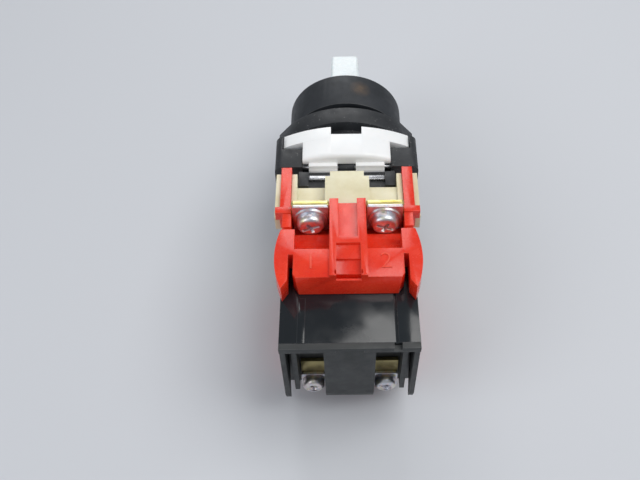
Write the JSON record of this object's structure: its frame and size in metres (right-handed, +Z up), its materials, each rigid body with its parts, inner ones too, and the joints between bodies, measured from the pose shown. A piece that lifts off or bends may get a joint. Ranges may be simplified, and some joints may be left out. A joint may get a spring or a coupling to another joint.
{
  "type": "illuminated selector switch",
  "caption": "Illuminated selector switch for a round panel hole: lever handle in a black bezel, clip-on adaptor with locking lever, screw terminal contact blocks and a transformer behind.",
  "frame": {"origin": "on the switch axis, in the back face of the bezel that seats on the panel", "axes": "+Y along the switch axis from the panel to the rear terminals, +Z up through the upper contact block, +X to the right as seen from the front"},
  "size_m": [0.036, 0.096, 0.0422],
  "materials": {
    "bezel_black": "fine matte moulded thermoplastic",
    "adaptor_black": "satin moulded thermoplastic",
    "case_black": "smooth glossy moulded thermoplastic",
    "frame_black": "matte moulded thermoplastic",
    "rubber": "soft black rubber",
    "steel": "bright spring steel",
    "nickel": "nickel plated brass",
    "lamp_glass": "clear glass",
    "brass_part": "plain brass",
    "zinc_yellow": "yellow zinc passivated steel",
    "lamination": "stacked silicon steel",
    "bobbin_nylon": "natural nylon",
    "copper_wire": "enamelled copper wire",
    "handle_white": "translucent white moulded plastic",
    "lever_white": "smooth white acetal",
    "base_cream": "natural nylon",
    "cover_red": "orange red moulded plastic"
  },
  "bodies": {
    "housing": {"operator_body": "bezel_black", "panel_gasket": "rubber", "ring_nut": "bezel_black", "adaptor_housing": "adaptor_black", "lever_strip": "steel", "lever_pin": "steel", "lamp_carrier": "adaptor_black", "lamp_socket": "nickel", "lamp_base": "nickel", "lamp_bulb": "lamp_glass", "centre_contact": "brass_part", "centre_contact_spring": "steel", "upper_contact_base": "base_cream", "upper_contact_cover": "cover_red", "upper_terminal_1": "zinc_yellow", "upper_terminal_2": "zinc_yellow", "upper_terminal_screws": "zinc_yellow", "upper_terminal_washers": "zinc_yellow", "upper_plunger_spring": "steel", "lower_contact_base": "base_cream", "lower_contact_cover": "cover_red", "lower_terminal_1": "zinc_yellow", "lower_terminal_2": "zinc_yellow", "lower_terminal_screws": "zinc_yellow", "lower_terminal_washers": "zinc_yellow", "lower_plunger_spring": "steel", "transformer_case": "case_black", "terminal_frame": "frame_black", "rear_terminal_left": "brass_part", "rear_terminal_right": "brass_part", "rear_terminal_washers": "zinc_yellow", "rear_terminal_screws": "zinc_yellow", "core": "lamination", "bobbin": "bobbin_nylon", "primary_winding": "copper_wire", "secondary_winding": "copper_wire"},
    "knob": {"handle": "handle_white", "knob_rotor": "adaptor_black", "rotor_seal": "rubber", "click_spring": "steel", "rotor_clip": "steel"},
    "lever": {"locking_lever": "lever_white"},
    "upper_contact": {"upper_plunger": "base_cream", "upper_contact_bridge": "brass_part"},
    "lower_contact": {"lower_plunger": "base_cream", "lower_contact_bridge": "brass_part"}
  },
  "joints": [
    {"name": "knob_turn", "type": "hinge", "parent": "housing", "child": "knob", "pos_m": [0, 0, 0], "axis": [0, 1, 0], "range_deg": [-45, 45]},
    {"name": "lever_lift", "type": "hinge", "parent": "housing", "child": "lever", "pos_m": [0, 0.0186, 0.0113], "axis": [-1, 0, 0], "range_deg": [0, 30]},
    {"name": "upper_plunger_slide", "type": "slide", "parent": "housing", "child": "upper_contact", "axis": [0, 1, 0], "range_m": [-0.00221, 0.00221], "deforming": ["upper_plunger_spring"]},
    {"name": "lower_plunger_slide", "type": "slide", "parent": "housing", "child": "lower_contact", "axis": [0, 1, 0], "range_m": [-0.00221, 0.00221], "deforming": ["lower_plunger_spring"]}
  ],
  "couplings": [
    {"joint": "upper_plunger_slide", "follows": "knob_turn", "m_per_rad": 0.0028},
    {"joint": "lower_plunger_slide", "follows": "knob_turn", "m_per_rad": -0.0028}
  ]
}
